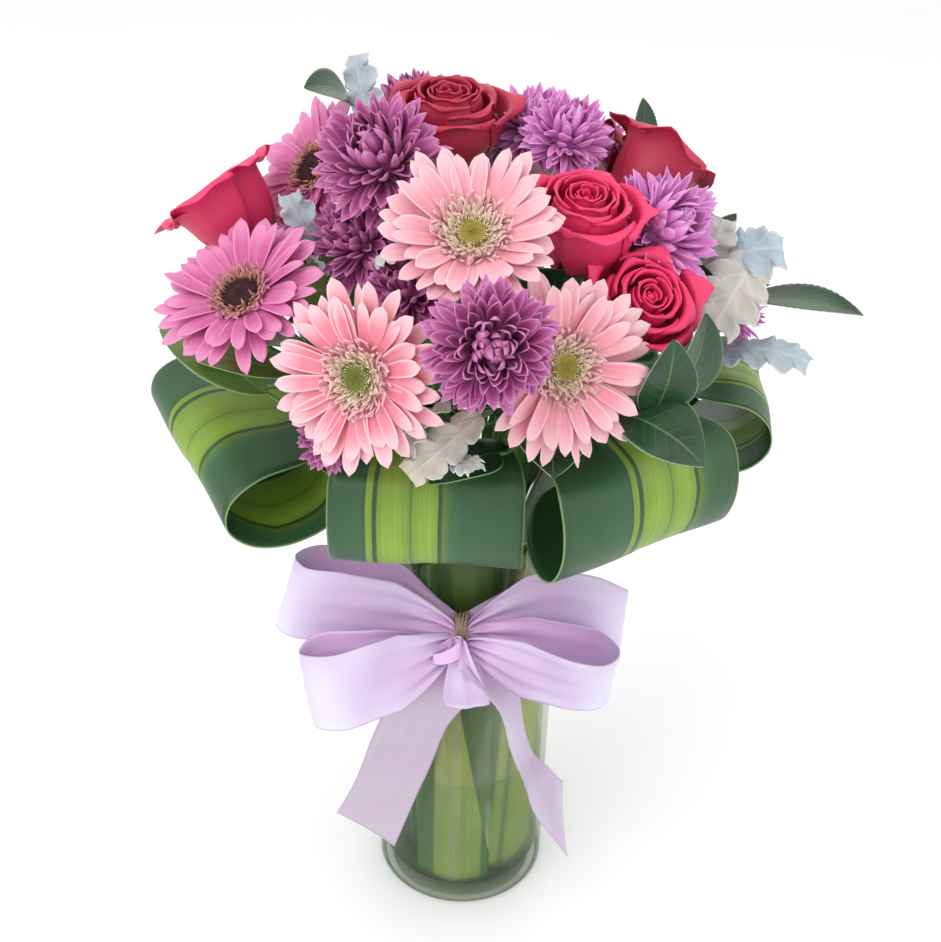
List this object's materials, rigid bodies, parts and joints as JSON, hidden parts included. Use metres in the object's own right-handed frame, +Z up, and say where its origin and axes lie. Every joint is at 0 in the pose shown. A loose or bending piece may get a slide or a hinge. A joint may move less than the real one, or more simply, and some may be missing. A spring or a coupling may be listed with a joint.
{
  "type": "vase of mixed flowers",
  "caption": "Hand-tied gerberas, roses, chrysanthemums and leaves with a collar of rolled leaves, in a filled clear glass cylinder vase with a satin bow.",
  "frame": {"origin": "centre of the vase's flat bottom", "axes": "+Z up along the vase, -Y towards the front with the bow, +X to the right seen from the front"},
  "size_m": [0.4172, 0.3489, 0.5776],
  "materials": {
    "glass": "clear polished",
    "water": "clear liquid",
    "cord": "matt cord",
    "ribbon": "satin",
    "green_stem": "matt",
    "disc_dark": "matt",
    "disc_pale": "matt",
    "petal_orchid": "soft satin",
    "petal_coral": "soft satin",
    "petal_red": "velvety",
    "petal_rose_pink": "velvety",
    "petal_lilac": "soft satin",
    "petal_plum": "soft satin",
    "strap_leaf": "waxy, striped lime",
    "silver_leaf": "felted",
    "green_leaf": "waxy"
  },
  "bodies": {
    "root": {"vase": "glass", "gerbera_stem_left_front": "green_stem", "gerbera_stem_top_front": "green_stem", "gerbera_stem_right_front": "green_stem", "gerbera_stem_left_side": "green_stem", "gerbera_stem_left_top": "green_stem", "gerbera_stem_back": "green_stem", "rose_and_chrysanthemum_stems": "green_stem", "gerbera_disc_left_front": "disc_pale", "gerbera_petals_left_front": "petal_coral", "gerbera_disc_top_front": "disc_pale", "gerbera_petals_top_front": "petal_coral", "gerbera_disc_right_front": "disc_pale", "gerbera_petals_right_front": "petal_coral", "gerbera_disc_left_side": "disc_dark", "gerbera_petals_left_side": "petal_orchid", "gerbera_disc_left_top": "disc_dark", "gerbera_petals_left_top": "petal_orchid", "gerbera_disc_back": "disc_pale", "gerbera_petals_back": "petal_coral", "rose_left": "petal_rose_pink", "rose_top": "petal_red", "rose_right_top": "petal_rose_pink", "rose_right_side": "petal_red", "rose_right_low": "petal_rose_pink", "rose_back": "petal_red", "chrysanthemum_left_centre": "petal_plum", "chrysanthemum_left_inner": "petal_plum", "chrysanthemum_centre_low": "petal_plum", "chrysanthemum_left_outer": "petal_plum", "chrysanthemum_front": "petal_plum", "chrysanthemum_low_left": "petal_plum", "chrysanthemum_top": "petal_lilac", "chrysanthemum_top_right": "petal_lilac", "chrysanthemum_top_outer": "petal_lilac", "chrysanthemum_right": "petal_lilac", "chrysanthemum_right_edge": "petal_lilac", "chrysanthemum_back_right": "petal_lilac", "chrysanthemum_top_back": "petal_plum", "chrysanthemum_back_left": "petal_plum", "chrysanthemum_back_centre": "petal_plum", "leaf_loop_front": "strap_leaf", "leaf_loop_right_front": "strap_leaf", "leaf_loop_right": "strap_leaf", "leaf_loop_back_right": "strap_leaf", "leaf_loop_back_left": "strap_leaf", "leaf_loop_left": "strap_leaf", "leaf_liner_front": "strap_leaf", "leaf_liner_right": "strap_leaf", "leaf_liner_back": "strap_leaf", "tie": "cord", "bow": "ribbon", "silver_spray_left": "silver_leaf", "silver_spray_front": "silver_leaf", "silver_spray_right": "silver_leaf", "foliage_left": "green_leaf", "foliage_right_back": "green_leaf", "foliage_right_front": "green_leaf", "foliage_back": "green_leaf", "water": "water"}
  },
  "joints": []
}
